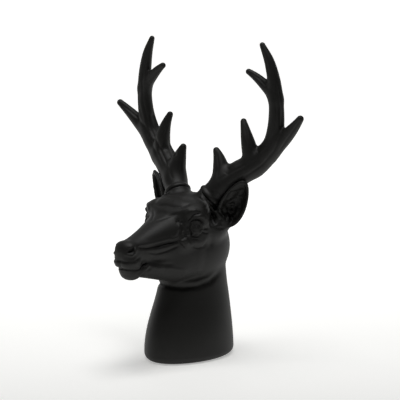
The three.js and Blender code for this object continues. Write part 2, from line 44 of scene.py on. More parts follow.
# Sizes shared with the solids.
BASE_WIDTH = 81.0
BASE_DEPTH = 110.0
BASE_EDGE_ROUND = 7.0
CORONET_RADIUS = 14.2
CORONET_BEAD = 2.6
SEAM_GAP = 0.3
EAR_WALL = 3.2
EAR_CLEARANCE = 1.4
EYEBALL_RADIUS = 6.6
MOUTH_GROOVE_WIDTH = 2.4
MOUTH_GROOVE_DEPTH = 1.5

# Grid steps. The grid is finest round the eyes, and the levels of the smooth neck stand further apart.
HEAD_STEP = 0.9
EYE_STEP = 0.76
NECK_LEVEL_STEP = 3.2
NECK_TOP_LEVEL = 84.0
ANTLER_STEP = 0.95


def vec(*values):
    return np.array(values, float)


def unit(v):
    return np.asarray(v, float) / np.linalg.norm(v)


# Joining and cutting of fields
def melt(a, b, blend):
    """Union of two fields, filleted over a blend length."""
    overlap = np.maximum(blend - np.abs(a - b), 0) / blend
    return np.minimum(a, b) - overlap * overlap * blend / 4


def carve(body, tool, blend):
    """Cuts one field out of another, with the edge rounded over a blend length."""
    return -melt(-body, tool, blend)


def ramp(low, high, value):
    """A smooth step from 0 at low to 1 at high."""
    t = np.clip((value - low) / (high - low), 0, 1)
    return t * t * (3 - 2 * t)


def stations(rows):
    """A smooth run of values through rows [position, value, value, ...]; read at any positions."""
    rows = np.array(rows, float)
    at, values = rows[:, 0], rows[:, 1:]
    slopes = np.empty_like(values)
    for i in range(len(at)):
        a, b = max(i - 1, 0), min(i + 1, len(at) - 1)
        slopes[i] = (values[b] - values[a]) / (at[b] - at[a])

    def read(position):
        p = np.clip(position, at[0], at[-1])
        i = np.clip(np.searchsorted(at, p) - 1, 0, len(at) - 2)
        span = (at[i + 1] - at[i])[:, None]
        t = (p - at[i])[:, None] / span
        m0, m1 = slopes[i] * span, slopes[i + 1] * span
        rise = values[i + 1] - values[i]
        out = values[i] + t * (m0 + t * (3 * rise - 2 * m0 - m1 + t * (m0 + m1 - 2 * rise)))
        return out.T

    return read


# Basic forms
def turn_matrix(rx, ry, rz):
    return np.array(Matrix.Rotation(rx, 3, "X") @ Matrix.Rotation(ry, 3, "Y") @ Matrix.Rotation(rz, 3, "Z"))


def ellipsoid(centre, radii, turn=(0, 0, 0)):
    spin, centre, radii = turn_matrix(*turn), vec(*centre), vec(*radii)

    def field(p):
        q = (p - centre) @ spin
        near = np.linalg.norm(q / radii, axis=1)
        steep = np.maximum(np.linalg.norm(q / radii ** 2, axis=1), 1e-9)
        return near * (near - 1) / steep

    return field


def rod(points, radii):
    """The skin round a run of balls: a bar through points that each have a radius."""
    points = np.array(points, float)

    def field(p):
        nearest = np.full(len(p), np.inf)
        for a, b, ra, rb in zip(points[:-1], points[1:], radii[:-1], radii[1:]):
            length = np.linalg.norm(b - a)
            slope = (ra - rb) / length
            d = p - a
            along = d @ ((b - a) / length)
            away = np.sqrt(np.maximum((d * d).sum(1) - along * along, 0))
            t = np.clip((along - away * slope / math.sqrt(1 - slope * slope)) / length, 0, 1)
            np.minimum(nearest, np.hypot(along - t * length, away) - ra - t * (rb - ra), out=nearest)
        return nearest

    return field


def taper(a, ra, b, rb):
    """A round bar between two balls of their own radii."""
    return rod([a, b], [ra, rb])


def ring(centre, axis, radius, bead):
    """A round bar bent into a ring."""

    def field(p):
        d = p - centre
        height = d @ axis
        out = np.sqrt(np.maximum((d * d).sum(1) - height * height, 0))
        return np.hypot(out - radius, height) - bead

    return field


# Neck: level, half width, throat, nape and how much wider the nape is than the throat
NECK_TOP = 146.0
NECK = stations([
    [0, BASE_WIDTH / 2, -BASE_DEPTH / 2, BASE_DEPTH / 2, 0.1],
    [14, BASE_WIDTH / 2, -BASE_DEPTH / 2 - 0.6, BASE_DEPTH / 2 - 0.8, 0.11],
    [30, 39.4, -53.4, 51.8, 0.147],
    [46, 36.8, -48.8, 50.2, 0.172],
    [62, 33.6, -42.9, 49.0, 0.185],
    [78, 30.9, -37.8, 47.0, 0.192],
    [100, 29.0, -32.0, 44.6, 0.198],
    [126, 27.0, -24.0, 41.4, 0.203],
    [NECK_TOP, 22.0, -16.0, 33.0, 0.205],
])


def neck(p):
    x, y, z = p.T
    half, throat, nape, narrowing = NECK(z)
    rise = np.clip(BASE_EDGE_ROUND - np.maximum(z, 0), 0, BASE_EDGE_ROUND)
    rounding = BASE_EDGE_ROUND - np.sqrt(BASE_EDGE_ROUND ** 2 - rise ** 2)
    depth = (nape - throat) / 2 - rounding
    along = (y - (throat + nape) / 2) / depth
    across = x / ((half - rounding) * (1 + narrowing * np.clip(along, -1, 1)))
    side = (np.hypot(across, along) - 1) * np.minimum(half, depth)
    return carve(side, NECK_TOP - z, 12)


# Muzzle: place along the head, top, bottom and half width
MUZZLE_FRONT, MUZZLE_BACK = -107.0, -22.0
MUZZLE_BOXINESS = 2.5
MUZZLE = stations([
    [MUZZLE_FRONT, 126.8, 118.8, 6.0],
    [-103, 132.0, 114.8, 10.6],
    [-95, 135.1, 111.8, 13.0],
    [-84, 138.3, 110.3, 13.6],
    [-68, 144.3, 106.3, 16.2],
    [-52, 151.1, 100.3, 21.0],
    [-38, 156.7, 93.3, 26.0],
    [MUZZLE_BACK, 161.3, 88.3, 29.0],
])


def muzzle(p):
    x, y, z = p.T
    top, bottom, half = MUZZLE(y)
    across = np.abs(x) / half
    up = np.abs(z - (top + bottom) / 2) / ((top - bottom) / 2)
    reach = (across ** MUZZLE_BOXINESS + up ** MUZZLE_BOXINESS) ** (1 / MUZZLE_BOXINESS)
    side = (reach - 1) * np.minimum(half, (top - bottom) / 2)
    return carve(side, np.minimum(y - MUZZLE_FRONT, MUZZLE_BACK - y), 3)


# Antler on the stag's left: a beam of places with radii, and four tines
SEAT_CENTRE = vec(21, 9.7, 168.1)
SEAT_AXIS = unit([0.585, 0.36, 0.725])
BEAM = np.array([
    [17.0, 6.0, 163.3, 12.2],
    [24.3, 11.9, 172.1, 12.3],
    [34.0, 18.6, 182.9, 12.8],
    [48.7, 26.8, 194.9, 13.3],
    [66.5, 34.2, 205.9, 11.8],
    [80.7, 37.2, 224.1, 10.1],
    [87.5, 35.3, 250.5, 8.3],
    [87.1, 33.4, 283.0, 7.1],
    [81.7, 31.5, 308.9, 5.4],
    [73.4, 29.6, 327.1, 2.9],
])
# Each tine: where it leaves the beam as a share of its length, a middle place, its tip and three radii.
TINES = [
    (0.20, (28.3, 19.2, 200.5), (22.2, 19.6, 216.3), (11.5, 8.0, 3.5)),
    (0.41, (57.1, 28.4, 225.2), (49.3, 30.4, 247.5), (10.2, 7.5, 3.3)),
    (0.52, (99.4, 37.0, 236.1), (120.4, 31.0, 255.3), (10.0, 7.2, 3.6)),
    (0.74, (73.5, 31.6, 287.9), (57.2, 28.3, 299.3), (6.2, 5.4, 3.1)),
]
TINE_BLEND = 5.0
CORONET_BLEND = 2.0
BEAM_RUN = stations(np.column_stack([np.linspace(0, 1, len(BEAM)), BEAM]))


def beam_at(share):
    """Place and radius of the beam at shares of its length."""
    return BEAM_RUN(np.atleast_1d(share)).T


def beam_form(steps=36):
    run = beam_at(np.linspace(0, 1, steps + 1))
    return rod(run[:, :3], run[:, 3])


def tine_form(leaves, middle, tip, radii, steps=12):
    root = beam_at(leaves)[0, :3]
    middle, tip = vec(*middle), vec(*tip)
    pull = 2 * middle - 0.5 * (root + tip)
    t = np.linspace(0, 1, steps + 1)[:, None]
    path = root * (1 - t) ** 2 + 2 * pull * t * (1 - t) + tip * t ** 2
    radius = stations([[0, radii[0]], [0.5, radii[1]], [1, radii[2]]])(t[:, 0])[0]
    return rod(path, radius)


beam = beam_form()
tine_forms = [tine_form(*tine) for tine in TINES]
coronet = ring(SEAT_CENTRE + SEAT_AXIS * CORONET_BEAD, SEAT_AXIS, CORONET_RADIUS - CORONET_BEAD, CORONET_BEAD)


def antler(p):
    field = beam(p)
    for form in tine_forms:
        field = melt(field, form(p), TINE_BLEND)
    field = melt(field, coronet(p), CORONET_BLEND)
    return np.maximum(field, SEAM_GAP - (p - SEAT_CENTRE) @ SEAT_AXIS)


# Ear
EAR_ROOT = vec(38, 10.8, 139.3)
EAR_TIP = vec(60.6, 18.4, 188.3)
EAR_MIDDLE = (EAR_ROOT + EAR_TIP) / 2
EAR_LENGTH = np.linalg.norm(EAR_TIP - EAR_ROOT)
EAR_AXIS = unit(EAR_TIP - EAR_ROOT)
EAR_FACING = vec(0.58, -0.8, 0.1)
EAR_OPENING = unit(EAR_FACING - EAR_AXIS * (EAR_FACING @ EAR_AXIS))
EAR_ACROSS = np.cross(EAR_AXIS, EAR_OPENING)
EAR_HALF_WIDTH = 13.6
EAR_HALF_DEPTH = 13.0
EAR_RIM = 3.0
EAR_TIP_NARROWING = 0.22


def ear(p, from_antler):
    """The cup, kept clear of the antler, with a whole wall behind its hollow there too."""
    d = p - EAR_MIDDLE
    along, out, side = d @ EAR_AXIS, d @ EAR_OPENING, d @ EAR_ACROSS

    def egg(half, width, depth, outset):
        slim = width * (1 - EAR_TIP_NARROWING * along / half)
        reach = np.sqrt((along / half) ** 2 + (side / slim) ** 2 + ((out - outset) / depth) ** 2)
        return (reach - 1) * np.minimum(slim, depth)

    outer = np.maximum(egg(EAR_LENGTH / 2, EAR_HALF_WIDTH, EAR_HALF_DEPTH, 0), out - EAR_RIM)
    inner = egg(
        EAR_LENGTH / 2 - EAR_WALL, EAR_HALF_WIDTH - EAR_WALL, EAR_HALF_DEPTH - EAR_WALL, EAR_WALL * 0.8)
    outer = carve(outer, from_antler, 1)
    inner = carve(inner, from_antler - EAR_WALL, 2)
    return carve(outer, inner, 2)


# Head
def slab(centre, radii, boxiness):
    """A rounded block: an egg with fuller corners."""
    centre, radii = vec(*centre), vec(*radii)

    def field(p):
        q = np.abs(p - centre) / radii
        return ((q ** boxiness).sum(1) ** (1 / boxiness) - 1) * radii.min()

    return field


# Each mass, and the length over which it melts into the ones before it.
HEAD_MASSES = [
    (ellipsoid((0, 7, 137.3), (30, 38, 34.5)), 0),
    (ellipsoid((8, 5.2, 115.3), (28.8, 42, 36.8)), 8),
    (muzzle, 12),
    (taper(vec(0, -87, 104.3), 6.4, vec(6, -30, 102.8), 19.3), 6),
    (ellipsoid((0, -91, 102.2), (11.4, 9.8, 7.7)), 3),
    (ellipsoid((0, -97.6, 127.8), (12.6, 8.6, 8)), 3),
    (ellipsoid((2, -92.5, 108.3), (10.5, 11, 6)), 3),
    (ellipsoid((3.5, -96, 114.8), (10.8, 10.8, 7)), 3),
    (taper(vec(3.2, -88, 105.5), 7.2, vec(6, -62, 106), 10.5), 3),
    (slab((0, -12, 151.2), (39.2, 24, 17.6), 2.8), 8),
    (taper(vec(24, -36, 128.3), 6, vec(32, 4, 134.3), 8), 8),
    (taper(vec(13, 3.6, 151.3), 13, SEAT_CENTRE + SEAT_AXIS, 13.4), 6),
    (taper(vec(28, 14, 139.3), 12, vec(36, 16, 143.3), 8), 8),
]
MOUTH_END, MOUTH_FADE_START = -76.0, -80.0
EYE_CENTRE = vec(30.2, -23.9, 141.6)
EYE_AXIS = unit([0.74, -0.66, 0.13])
eyeball = ellipsoid(EYE_CENTRE, (EYEBALL_RADIUS,) * 3)
eyelids = ring(EYE_CENTRE + EYE_AXIS * 4.0, EYE_AXIS, 5.5, 1.4)
eye_socket = ellipsoid((38.6, -32.4, 142.6), (9.5, 12, 10.5), (0, 0, -0.75))
temple_hollow = ellipsoid((37, -3, 154), (8, 6, 12), (-0.5, 0.3, 0))
ear_front_hollow = ellipsoid((33, 5.5, 158), (5, 3.5, 8), (-0.3, 0.5, 0.3))
temple_fold = rod([(20.6, -3.2, 170.2), (28, 0.2, 160), (37, 4.6, 149)], [1.2, 1.2, 1.2])
nostril = ellipsoid((12, -102.9, 127.1), (3.8, 3.4, 2.2), (0, 0.9, 0.3))
cheek_groove = rod([(28, -39, 133.6), (18, -64.8, 128.8), (13.4, -90, 129.4)], [1.2, 1.9, 1.3])
MOUTH_LINE = stations([[-108, 108.9], [-98, 107.5], [-88, 107.9], [-79, 110.9]])


def head(p):
    field = HEAD_MASSES[0][0](p)
    for form, blend in HEAD_MASSES[1:]:
        field = melt(field, form(p), blend)
    field = carve(field, eye_socket(p), 4)
    field = melt(field, eyelids(p), 2.5)
    field = melt(field, eyeball(p), 0.5)
    field = carve(field, temple_hollow(p), 4)
    field = carve(field, ear_front_hollow(p), 3)
    field = melt(field, temple_fold(p), 2.5)
    field = carve(field, cheek_groove(p), 2)
    field = carve(field, nostril(p), 2)
    _, y, z = p.T
    line = MOUTH_LINE(y)[0]
    shown = 1 - ramp(MOUTH_FADE_START, MOUTH_END, y)
    return field + MOUTH_GROOVE_DEPTH * shown * np.exp(-((z - line) / (MOUTH_GROOVE_WIDTH / 2)) ** 2)


# Carving
# The creases are drawn on a sheet held square to the three-quarter view, 400 mm on a side and with y down.
# A form at the sheet's aim is drawn at about 0.96 of its real size.
SHEET_MIDDLE = 200.0
SHEET_AZIMUTH = math.radians(39)
SHEET_ELEVATION = math.radians(9.5)
SHEET_DISTANCE = 1800.0
SHEET_SCALE = 1732.0
SHEET_AIM = vec(9.84, 7.97, 164.394)
TOWARDS = vec(
    math.sin(SHEET_AZIMUTH) * math.cos(SHEET_ELEVATION),
    -math.cos(SHEET_AZIMUTH) * math.cos(SHEET_ELEVATION),
    math.sin(SHEET_ELEVATION))
RIGHTWARDS = vec(math.cos(SHEET_AZIMUTH), math.sin(SHEET_AZIMUTH), 0)
UPWARDS = np.cross(TOWARDS, RIGHTWARDS)


def on_sheet(p):
    """Places on the sheet, and how far each point stands towards the viewer."""
    d = p - SHEET_AIM
    towards = d @ TOWARDS
    scale = SHEET_SCALE / (SHEET_DISTANCE - towards)
    return SHEET_MIDDLE + (d @ RIGHTWARDS) * scale, SHEET_MIDDLE - (d @ UPWARDS) * scale, towards


def stroke(path, width, depth, fade=0.2):
    """A groove (depth above 0) or a raised fold (below 0) along a drawn path, thinning out at its ends."""
    path = np.array(path, float)
    lengths = np.linalg.norm(path[1:] - path[:-1], axis=1)
    starts = np.concatenate([[0], np.cumsum(lengths)])
    low, high = path.min(0) - 3 * width, path.max(0) + 3 * width

    def cut(x, y):
        out = np.zeros(len(x))
        near = (x > low[0]) & (x < high[0]) & (y > low[1]) & (y < high[1])
        px, py = x[near], y[near]
        best, run = np.full(len(px), np.inf), np.zeros(len(px))
        for a, b, length, start in zip(path[:-1], path[1:], lengths, starts):
            ux, uy = (b - a) / length
            t = np.clip((px - a[0]) * ux + (py - a[1]) * uy, 0, length)
            gap = np.hypot(px - a[0] - t * ux, py - a[1] - t * uy)
            closer = gap < best
            best = np.where(closer, gap, best)
            run = np.where(closer, start + t, run)
        ends = np.minimum(run, starts[-1] - run) / (fade * starts[-1] + 1e-9)
        out[near] = depth * np.exp(-(best / width) ** 2) * np.clip(0.35 + ends, 0, 1)
        return out

    return cut


# Each stroke: its path on the sheet, half width and depth.
FACE_STROKES = [
    # lids, brow and the folds round the eye
    ([(191.2, 226), (191.8, 222.6), (194.6, 220.9), (198.4, 221), (201, 223.4), (201.6, 227)], 1.0, -1.0),
    ([(190.6, 222.6), (192.8, 220), (197, 218.6), (201.6, 219.9), (204, 223.4)], 0.9, 0.9),
    ([(191, 217.6), (197.4, 215.8), (203.6, 217), (207.4, 221), (209.4, 226)], 1.5, -0.7),
    ([(187.6, 221.4), (190.8, 217.2), (194.6, 214.6), (200.4, 213.2)], 1.1, 1.5),
    ([(184.6, 215.6), (190, 211.6), (197.4, 209.8)], 2.2, -1.0),
    ([(191.6, 229.6), (193.8, 232.2), (197.6, 232.6), (200.8, 230.6)], 0.8, -0.7),
    ([(191.6, 233.9), (199.8, 234)], 0.7, 0.8),
    ([(191.8, 236.2), (198.4, 236.6)], 0.7, 0.8),
    ([(190.8, 238.8), (198.4, 239.2)], 0.7, 0.7),
    ([(201.6, 229), (207.8, 228.4)], 0.8, 0.9),
    ([(201.4, 231.4), (204.4, 232.6), (207.6, 233.2)], 0.8, 0.9),
    ([(187.4, 228.8), (187.8, 229.6)], 1.5, -0.9),
    ([(184.2, 233.6), (188, 234.6), (191.6, 233)], 1.0, 1.0),
    ([(186.4, 235.8), (189, 239), (191, 243)], 1.0, 1.0),
    ([(183.6, 237.8), (187, 241.8), (188.2, 245)], 1.2, -0.7),
    ([(179.6, 240.6), (182.4, 244.2), (185.4, 247.6)], 1.1, 1.0),
    ([(192, 242.4), (197.6, 243.4), (202.8, 242), (206.4, 238.6)], 1.8, -0.55),
    ([(191.4, 246.6), (198, 247.8), (203.4, 246.8), (206.2, 243.2)], 1.3, 0.8),
    ([(211, 234), (212, 240), (210.4, 246)], 2.4, 0.8),
    ([(216.6, 227.8), (223.4, 228.2)], 1.3, 0.9),
    # hollow in front of the eye
    ([(176.6, 220.4), (179.4, 221.6), (182, 221.2)], 2.2, 1.7),
    ([(182, 220.6), (182.4, 226), (182.4, 232)], 2.0, 1.2),
    ([(179, 224.6), (180.4, 229.6), (177.6, 236.6), (171.4, 240)], 1.6, -0.9),
    # forehead
    ([(160.6, 200.9), (166, 204.8), (173.2, 207.2), (181.5, 207), (187.7, 204.3), (194, 201.6)], 1.8, 0.9),
    ([(160, 208.6), (168, 211.6), (180, 211.4), (192, 208.4)], 2.6, -0.7),
    ([(172, 199.6), (178, 198.4), (184, 199.4)], 3.0, -0.9),
    ([(154.6, 221.6), (163, 218.8), (169, 216.4), (176, 214.4)], 1.1, 0.6),
    # muzzle
    ([(179, 240.8), (167, 243.2), (156.7, 246.2), (146.3, 248.2), (139, 247.4)], 1.4, 1.3),
    ([(176, 237.2), (166, 239.4), (155, 242.4), (143, 244.4)], 2.4, -0.8),
    ([(179, 245.6), (167, 251), (156.7, 253.8), (149, 252.4)], 1.2, 0.8),
    ([(175, 244.4), (164, 248.2), (154, 250.4)], 1.3, -0.5),
    ([(150.5, 258.6), (158, 260.2), (167, 259)], 2.6, 0.8),
    ([(146.6, 265.6), (158.6, 268.6), (171, 268.4), (186, 270.6)], 1.6, -0.6),
    ([(149, 262.2), (160, 264.2), (174, 264.2)], 1.4, 0.5),
    # edge of the jaw and the crease under it
    ([(165, 281), (180, 283.4), (196, 282.4), (208, 277.6), (216, 270)], 2.5, -1.0),
    ([(158, 283), (170, 286), (184, 287.4), (198, 286.2), (209.6, 281.8), (218, 274)], 2.4, 2.0),
    # nostril, nose pad and lips
    ([(134, 247), (132.4, 250.2), (128.6, 252.6)], 1.0, 2.2),
    ([(125.4, 254.6), (131.6, 256), (135.2, 252.6), (136.2, 248.6)], 1.2, -1.0),
    ([(118, 260.2), (125.6, 262.4), (135, 261.4), (140.6, 256.6)], 1.2, 0.9),
    ([(116.6, 264.6), (124, 267.4), (136, 268)], 1.2, -0.7),
    ([(143.2, 268), (145.4, 267)], 2.6, -2.2),
    ([(138.8, 275.4), (143.2, 271), (147.4, 266.8), (149.6, 264.4)], 1.1, -1.0),
    ([(144, 275.4), (147.6, 271.4), (151, 267.4)], 1.1, 0.9),
    ([(122, 272.6), (130, 274), (137, 273.6)], 1.4, -0.5),
]
EAR_STROKES = [
    # rim band, pit and folds of the cup
    ([(227.5, 196.5), (232.4, 192.6), (238.6, 191.4), (244.6, 189.8)], 1.3, 1.2),
    ([(245.6, 190), (246, 197), (244.6, 204), (240.8, 210.6), (236, 216.4), (230.6, 221.6)], 1.2, 1.1),
    ([(226, 200.5), (231.6, 196.8), (238, 196), (243, 197)], 1.5, -1.2),
    ([(228.4, 203.4), (233, 206.4), (232.6, 212), (228.6, 215.6)], 4.2, 2.0),
    ([(229, 205.4), (232.4, 203.6), (234.6, 205.2)], 1.5, -2.4),
    ([(230.2, 211.6), (232.2, 210.4)], 1.5, -2.2),
    ([(236.6, 207.4), (236.4, 212.4), (233.4, 216.6)], 1.2, -1.5),
    ([(225.6, 208), (226.2, 213.4), (228.6, 218.2), (226.8, 222.4)], 1.3, -1.6),
    ([(239.6, 201.4), (241, 205.6), (239.4, 210)], 1.3, 1.2),
    ([(221.6, 219.6), (223.4, 222.6)], 1.6, -1.0),
    # pit and the long straight folds between the ear and the temple
    ([(205.5, 204), (209, 211), (214, 219)], 2.8, 1.9),
    ([(210, 211.4), (211, 214)], 1.3, -1.7),
    ([(201, 197), (209, 205.4), (217, 213.6), (225.5, 222)], 1.0, -1.5),
    ([(205.4, 198), (213.4, 206), (220, 212.6)], 1.0, 1.3),
    ([(218, 207.4), (221.6, 213.6), (225.4, 220)], 1.0, -1.4),
    ([(211.6, 217), (213.4, 221.4), (216.6, 224.6)], 2.2, 1.8),
]
face_cuts = [stroke(*line) for line in FACE_STROKES + EAR_STROKES]
LEFT_ANTLER_STROKES = [
    ([(228, 187), (246, 176), (262, 165), (274, 151), (281, 134), (282.5, 112), (279, 88),
      (271, 64)], 1.3, 0.8),
    ([(218, 180), (234, 170.6), (252, 161.4), (266, 149), (274, 134), (276.4, 112), (273.4, 92)], 1.2, 0.6),
    ([(217, 153), (218.6, 166), (217, 177)], 1.2, 0.8),
    ([(244.4, 127), (248, 140), (254, 152)], 1.2, 0.8),
    ([(301, 119), (293.6, 130), (286, 141), (279, 152)], 1.2, 0.8),
    ([(249, 72), (259, 78.4), (268, 88)], 1.1, 0.7),
    ([(262, 50), (266.4, 62), (269.6, 76)], 1.1, 0.6),
    ([(226, 174.6), (229.6, 167.6)], 2.4, 1.0),
    ([(257, 152.4), (261.4, 145)], 2.4, 1.0),
    ([(212.4, 190), (218.6, 194.6), (221, 198.6)], 1.4, -0.7),
]
RIGHT_ANTLER_STROKES = [
    ([(150, 44), (144.6, 62), (142, 82), (143, 102), (148, 122), (157, 142), (166.4, 162),
      (172, 178)], 1.2, 0.8),
    ([(146.4, 58), (139.4, 84), (138.6, 104), (143, 122), (152, 144), (162, 166)], 1.1, 0.6),
    ([(119.6, 103), (129, 110), (138, 117.6), (144.6, 128)], 1.2, 0.8),
    ([(170, 114), (166.4, 126), (161.4, 137)], 1.2, 0.8),
    ([(183.4, 148), (180.6, 162), (181.4, 174)], 1.2, 0.8),
    ([(162.6, 67.4), (154.4, 74), (147.4, 83)], 1.1, 0.7),
    ([(152.6, 113), (155, 121), (156.6, 129)], 2.5, 1.3),
    ([(170.6, 143), (173, 150), (175, 157)], 2.5, 1.3),
]
left_antler_cuts = [stroke(*line) for line in LEFT_ANTLER_STROKES]
right_antler_cuts = [stroke(*line) for line in RIGHT_ANTLER_STROKES]


CARVED_DEEPEST, CARVED_BACKMOST = -30.0, 30.0
SQUARELY, ASKEW = 0.5, 0.12


def face_carving(p):
    """Grooves less folds over the face, in millimetres. p holds distances from the middle plane as x."""
    x, y, towards = on_sheet(p)
    total = np.zeros(len(p))
    shown = np.nonzero((towards > CARVED_DEEPEST) & (p[:, 1] < CARVED_BACKMOST))[0]
    for cut in face_cuts:
        total[shown] += cut(x[shown], y[shown])
    return total


TRIM_RADIUS = CORONET_RADIUS + EAR_CLEARANCE
TRIM_HEIGHT = 2 * CORONET_BEAD + 0.8
NECK_BLEND = 2.5
EAR_BLEND = 3.0
ANTLER_ZONE_LEVEL = 130.0
FAR_AWAY = 50.0


def bust(p):
    """Head, ears, neck and foot, with a flat seat and room for each antler. Folded in the middle plane."""
    p = np.column_stack([np.abs(p[:, 0]), p[:, 1], p[:, 2]])
    above_seat = (p - SEAT_CENTRE) @ SEAT_AXIS
    from_axis = np.linalg.norm(p - SEAT_CENTRE - above_seat[:, None] * SEAT_AXIS, axis=1)
    near = (p[:, 2] > ANTLER_ZONE_LEVEL) & (p[:, 0] > 2)
    from_antler = np.full(len(p), FAR_AWAY)
    from_antler[near] = np.minimum(beam(p[near]), coronet(p[near])) - EAR_CLEARANCE
    field = np.maximum(head(p), np.minimum(above_seat, TRIM_RADIUS + EAR_CLEARANCE - from_axis))
    field = melt(field, ear(p, from_antler), EAR_BLEND)
    trimmed = np.minimum(np.minimum(above_seat, TRIM_HEIGHT - above_seat), TRIM_RADIUS - from_axis)
    field = np.maximum(field, trimmed)
    field = melt(field, neck(p), NECK_BLEND)
    return np.maximum(field, -p[:, 2])


# Surface of a field, found on a grid
POINTS_AT_ONCE = 200000


def lattice(axes):
    """Every combination of three lists of values, as one array of triples."""
    return np.stack(np.meshgrid(*axes, indexing="ij"), -1)


def grid_values(field, axes, block=6, slack=1.5):
    """Field values on a grid, worked out closely only in the blocks that the surface can pass through."""
    shape = tuple(len(a) for a in axes)
    values = np.full(shape, np.nan, np.float32)
    starts = [np.arange(0, n, block) for n in shape]
    ends = [np.minimum(s + block, n) for s, n in zip(starts, shape)]
    lows = [a[s] for a, s in zip(axes, starts)]
    highs = [a[np.minimum(e, n - 1)] for a, e, n in zip(axes, ends, shape)]
    middles = lattice([(lo + hi) / 2 for lo, hi in zip(lows, highs)])
    reach = np.linalg.norm(lattice([(hi - lo) / 2 for lo, hi in zip(lows, highs)]), axis=-1)
    far = field(middles.reshape(-1, 3)).reshape(middles.shape[:3])
    near = np.abs(far) <= reach + slack
    places, targets = [], []
    for at in np.ndindex(far.shape):
        box = tuple(slice(starts[d][at[d]], ends[d][at[d]]) for d in range(3))
        if near[at]:
            targets.append(box)
            places.append(lattice([a[s] for a, s in zip(axes, box)]).reshape(-1, 3))
        else:
            values[box] = far[at]
    stacked = np.concatenate(places)
    parts = np.array_split(stacked, max(1, len(stacked) // POINTS_AT_ONCE))
    results = np.concatenate([field(part) for part in parts])
    used = 0
    for box, place in zip(targets, places):
        values[box] = results[used:used + len(place)].reshape(values[box].shape)
        used += len(place)
    return values


# Corners of a grid cell, and its edges as pairs of corners.
CORNERS = [(0, 0, 0), (1, 0, 0), (0, 1, 0), (1, 1, 0), (0, 0, 1), (1, 0, 1), (0, 1, 1), (1, 1, 1)]
EDGES = [(0, 1), (2, 3), (4, 5), (6, 7), (0, 2), (1, 3), (4, 6), (5, 7), (0, 4), (1, 5), (2, 6), (3, 7)]


def join_pinches(values, filled=-0.01, rounds=4):
    """Fills the grid squares whose corners alternate, where the net would touch itself along an edge."""
    for _ in range(rounds):
        for u, v in ((0, 1), (1, 2), (0, 2)):
            inside = values < 0
            parts = []
            for du, dv in ((0, 0), (1, 0), (1, 1), (0, 1)):
                cut = [slice(None)] * 3
                cut[u] = slice(du, values.shape[u] - 1 + du)
                cut[v] = slice(dv, values.shape[v] - 1 + dv)
                parts.append(tuple(cut))
            a, b, c, d = [inside[part] for part in parts]
            pinched = (a == c) & (b == d) & (a != b)
            for part in parts:
                corner = values[part]
                corner[pinched] = np.minimum(corner[pinched], filled)
    return values


def net(values, axes):
    """A vertex in each cell that the surface crosses, and a four-sided face round each crossed grid edge."""
    inside = values < 0
    count = np.zeros(tuple(n - 1 for n in values.shape), np.uint8)
    for a, b, c in CORNERS:
        count += inside[a:a + count.shape[0], b:b + count.shape[1], c:c + count.shape[2]]
    crossed = (count > 0) & (count < 8)
    cells = np.argwhere(crossed)
    number = np.full(count.shape, -1, np.int64)
    number[crossed] = np.arange(len(cells))
    corner_values = np.stack([values[tuple((cells + c).T)] for c in CORNERS], 1)
    corner_places = np.stack([
        np.stack([axes[d][cells[:, d] + c[d]] for d in range(3)], 1) for c in CORNERS], 1)
    total, times = np.zeros((len(cells), 3)), np.zeros(len(cells))
    for a, b in EDGES:
        va, vb = corner_values[:, a], corner_values[:, b]
        hit = (va < 0) != (vb < 0)
        t = np.where(hit, va / np.where(hit, va - vb, 1), 0)
        spot = corner_places[:, a] + t[:, None] * (corner_places[:, b] - corner_places[:, a])
        total += np.where(hit[:, None], spot, 0)
        times += hit
    vertices = total / times[:, None]
    faces = []
    for d in range(3):
        step = [0, 0, 0]
        step[d] = 1
        low = inside[tuple(slice(0, n - s) for n, s in zip(inside.shape, step))]
        high = inside[tuple(slice(s, None) for s in step)]
        starts = np.argwhere(low != high)
        u, v = (d + 1) % 3, (d + 2) % 3
        for side in (u, v):
            starts = starts[(starts[:, side] > 0) & (starts[:, side] < values.shape[side] - 1)]
        around = []
        for du, dv in ((-1, -1), (0, -1), (0, 0), (-1, 0)):
            cell = starts.copy()
            cell[:, u] += du
            cell[:, v] += dv
            around.append(number[tuple(cell.T)])
        quad = np.stack(around, 1)
        outward = low[tuple(starts.T)]
        quad[~outward] = quad[~outward][:, ::-1]
        faces.append(quad)
    return vertices, np.concatenate(faces)


def value_and_slope(field, vertices, nudge=0.05):
    """A field at the vertices, and how it changes along each axis."""
    here = field(vertices)
    slope = np.empty_like(vertices)
    for d in range(3):
        moved = vertices.copy()
        moved[:, d] += nudge
        slope[:, d] = (field(moved) - here) / nudge
    return here, slope


def settle(vertices, field, step, rounds=3, least_steepness=0.05, longest_move=0.6):
    """Moves vertices onto the surface of a field, along its slope and by less than a grid step at a time."""
    for _ in range(rounds):
        here, slope = value_and_slope(field, vertices)
        steep = np.maximum((slope * slope).sum(1), least_steepness)
        move = -slope * (here / steep)[:, None]
        length = np.linalg.norm(move, axis=1)
        move *= np.minimum(1, longest_move * step / np.maximum(length, 1e-9))[:, None]
        vertices = vertices + move
    return vertices


def outward_normals(field, vertices):
    _, slope = value_and_slope(field, vertices)
    return slope / np.maximum(np.linalg.norm(slope, axis=1), 0.1)[:, None]


def carve_face(vertices):
    """Sinks the grooves and raises the folds, square to the surface, where the sheet looks at it squarely."""
    out = outward_normals(bust, vertices)
    mirror = np.where(vertices[:, 0] < 0, -1, 1)
    folded = vertices * np.column_stack([mirror, mirror * mirror, mirror * mirror])
    facing = np.column_stack([out[:, 0] * mirror, out[:, 1:]]) @ TOWARDS
    depth = face_carving(folded)
    return vertices - out * (depth * ramp(ASKEW, SQUARELY, facing))[:, None]


